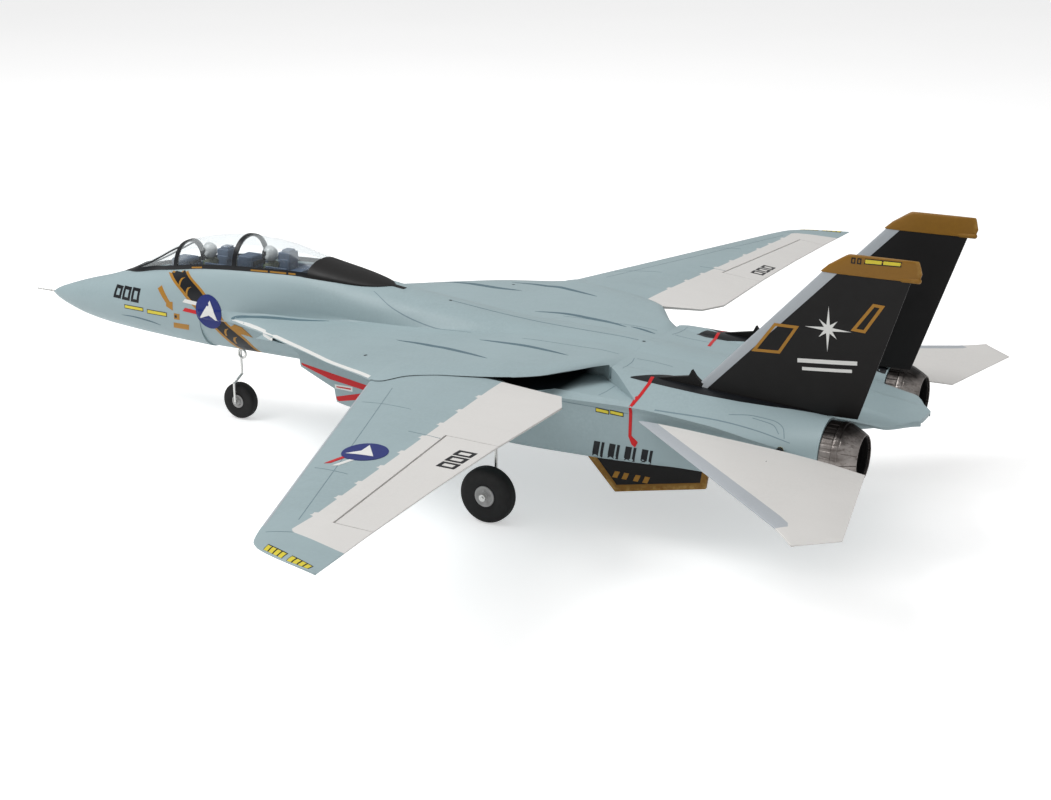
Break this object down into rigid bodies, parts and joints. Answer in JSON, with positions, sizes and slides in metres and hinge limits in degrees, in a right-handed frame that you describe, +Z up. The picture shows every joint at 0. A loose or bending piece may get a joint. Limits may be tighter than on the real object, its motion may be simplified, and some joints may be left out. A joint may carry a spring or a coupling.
{
  "type": "radio controlled jet plane",
  "caption": "Twin ducted-fan radio controlled model jet with swing wings, twin fins, all-moving tails, a lift-off cockpit hatch and a tricycle undercarriage.",
  "frame": {"origin": "on the ground, under the centre of the outline's box", "axes": "+X to port (the span), +Y aft (the nose points along -Y), +Z up"},
  "size_m": [1.564, 1.446, 0.3906],
  "materials": {
    "foam": "painted expanded foam, satin",
    "foam_white": "painted expanded foam, satin",
    "foam_black": "painted expanded foam, satin",
    "black_plastic": "moulded nylon, matte",
    "white_plastic": "moulded nylon",
    "steel": "bright spring wire",
    "carbon": "woven carbon plate",
    "ply": "bare birch ply",
    "brass": "turned brass",
    "tyre": "black foam rubber",
    "hub": "moulded plastic",
    "nozzle": "burnt-metal paint",
    "glass": "clear blown plastic",
    "cockpit": "vacuum-formed tray, painted",
    "helmet": "painted plastic",
    "battery": "shrink-wrapped pack",
    "electronics": "shrink-wrapped board",
    "motor": "anodised"
  },
  "bodies": {
    "airframe": {"nose_shell": "foam", "upper_shell": "foam", "lower_shell": "foam", "pitot_tube": "steel", "nozzles": "nozzle", "left_fin": "foam_black", "right_fin": "foam_black", "ventral_fins": "foam_black", "fan_housings": "black_plastic", "fan_motors": "motor", "battery": "battery", "battery_tray": "ply", "speed_controllers": "electronics", "receiver": "electronics", "sweep_servos": "black_plastic", "steering_servo": "black_plastic", "stab_servos": "black_plastic", "spar_plate": "carbon", "pivot_bolts": "steel", "stab_bushes": "brass", "main_gear_mounts": "black_plastic", "main_gear_wires": "steel", "nose_gear_block": "black_plastic", "deck_screws": "black_plastic", "wheel_collars": "steel"},
    "left_rotor": {"left_rotor": "black_plastic"},
    "right_rotor": {"right_rotor": "black_plastic"},
    "left_wing": {"left_wing": "foam", "left_root_plate": "black_plastic", "left_aileron_servo": "black_plastic"},
    "left_aileron": {"left_aileron": "foam_white", "left_torque_rod": "steel"},
    "left_stab": {"left_stab": "foam_white", "left_stab_shaft": "steel"},
    "left_stab_arm": {"left_stab_arm": "white_plastic"},
    "left_stab_rod": {"left_stab_rod": "steel"},
    "left_wheel": {"left_tyre": "tyre", "left_hub": "hub"},
    "right_wing": {"right_wing": "foam", "right_root_plate": "black_plastic", "right_aileron_servo": "black_plastic"},
    "right_aileron": {"right_aileron": "foam_white", "right_torque_rod": "steel"},
    "right_stab": {"right_stab": "foam_white", "right_stab_shaft": "steel"},
    "right_stab_arm": {"right_stab_arm": "white_plastic"},
    "right_stab_rod": {"right_stab_rod": "steel"},
    "right_wheel": {"right_tyre": "tyre", "right_hub": "hub"},
    "nose_gear": {"nose_gear_wire": "steel"},
    "steering_arm": {"steering_arm": "white_plastic"},
    "steering_rod": {"steering_rod": "steel"},
    "nose_wheel": {"nose_tyre": "tyre", "nose_hub": "hub"},
    "hatch": {"hatch_frame": "foam_black", "canopy_glass": "glass", "rear_fairing": "foam_black", "cockpit_tub": "cockpit", "seats": "cockpit", "pilots": "helmet"}
  },
  "joints": [
    {"name": "left_wing_sweep", "type": "hinge", "parent": "airframe", "child": "left_wing", "pos_m": [0.205, 0.142, 0.198], "axis": [0, 0, 1], "range_deg": [0, 48]},
    {"name": "left_aileron_hinge", "type": "hinge", "parent": "left_wing", "child": "left_aileron", "pos_m": [0.412, 0.277, 0.198], "axis": [0.9942, 0.108, 0], "range_deg": [-20, 20]},
    {"name": "left_stab_pivot", "type": "hinge", "parent": "airframe", "child": "left_stab", "pos_m": [0.178, 0.582, 0.1585], "axis": [1, 0, 0], "range_deg": [-15, 15]},
    {"name": "left_stab_servo", "type": "hinge", "parent": "airframe", "child": "left_stab_arm", "pos_m": [0.173, 0.538, 0.1195], "axis": [1, 0, 0], "range_deg": [-15, 15]},
    {"name": "left_stab_link", "type": "hinge", "parent": "left_stab_arm", "child": "left_stab_rod", "pos_m": [0.1756, 0.5453, 0.11127], "axis": [1, 0, 0], "range_deg": [-15, 15]},
    {"name": "left_wheel_spin", "type": "hinge", "parent": "airframe", "child": "left_wheel", "pos_m": [0.182, 0.197, 0.0372], "axis": [1, 0, 0], "continuous": true},
    {"name": "left_fan_spin", "type": "hinge", "parent": "airframe", "child": "left_rotor", "pos_m": [0.126, 0.431, 0.149], "axis": [0, 1, 0], "continuous": true},
    {"name": "right_wing_sweep", "type": "hinge", "parent": "airframe", "child": "right_wing", "pos_m": [-0.205, 0.142, 0.198], "axis": [0, 0, 1], "range_deg": [-48, 0]},
    {"name": "right_aileron_hinge", "type": "hinge", "parent": "right_wing", "child": "right_aileron", "pos_m": [-0.412, 0.277, 0.198], "axis": [0.9942, -0.108, 0], "range_deg": [-20, 20]},
    {"name": "right_stab_pivot", "type": "hinge", "parent": "airframe", "child": "right_stab", "pos_m": [-0.178, 0.582, 0.1585], "axis": [1, 0, 0], "range_deg": [-15, 15]},
    {"name": "right_stab_servo", "type": "hinge", "parent": "airframe", "child": "right_stab_arm", "pos_m": [-0.173, 0.538, 0.1195], "axis": [1, 0, 0], "range_deg": [-15, 15]},
    {"name": "right_stab_link", "type": "hinge", "parent": "right_stab_arm", "child": "right_stab_rod", "pos_m": [-0.1756, 0.5453, 0.11127], "axis": [1, 0, 0], "range_deg": [-15, 15]},
    {"name": "right_wheel_spin", "type": "hinge", "parent": "airframe", "child": "right_wheel", "pos_m": [-0.182, 0.197, 0.0372], "axis": [1, 0, 0], "continuous": true},
    {"name": "right_fan_spin", "type": "hinge", "parent": "airframe", "child": "right_rotor", "pos_m": [-0.126, 0.431, 0.149], "axis": [0, 1, 0], "continuous": true},
    {"name": "nose_steer", "type": "hinge", "parent": "airframe", "child": "nose_gear", "pos_m": [0, -0.328, 0.1], "axis": [0, 0, 1], "range_deg": [-30, 30]},
    {"name": "steer_servo", "type": "hinge", "parent": "airframe", "child": "steering_arm", "pos_m": [0, -0.296, 0.1385], "axis": [0, 0, 1], "range_deg": [-30, 30]},
    {"name": "steer_link", "type": "hinge", "parent": "steering_arm", "child": "steering_rod", "pos_m": [0.012, -0.296, 0.1418], "axis": [0, 0, 1], "range_deg": [-30, 30]},
    {"name": "nose_wheel_spin", "type": "hinge", "parent": "nose_gear", "child": "nose_wheel", "pos_m": [0, -0.333, 0.0277], "axis": [1, 0, 0], "continuous": true},
    {"name": "hatch_lift", "type": "slide", "parent": "airframe", "child": "hatch", "axis": [0, 0, 1], "range_m": [0, 0.06]}
  ],
  "couplings": [
    {"joint": "right_wing_sweep", "follows": "left_wing_sweep", "ratio": -1},
    {"joint": "right_aileron_hinge", "follows": "left_aileron_hinge", "ratio": -1},
    {"joint": "steer_servo", "follows": "nose_steer", "ratio": 1},
    {"joint": "steer_link", "follows": "nose_steer", "ratio": -1},
    {"joint": "left_stab_servo", "follows": "left_stab_pivot", "ratio": 1},
    {"joint": "left_stab_link", "follows": "left_stab_pivot", "ratio": -1},
    {"joint": "right_stab_servo", "follows": "right_stab_pivot", "ratio": 1},
    {"joint": "right_stab_link", "follows": "right_stab_pivot", "ratio": -1}
  ]
}
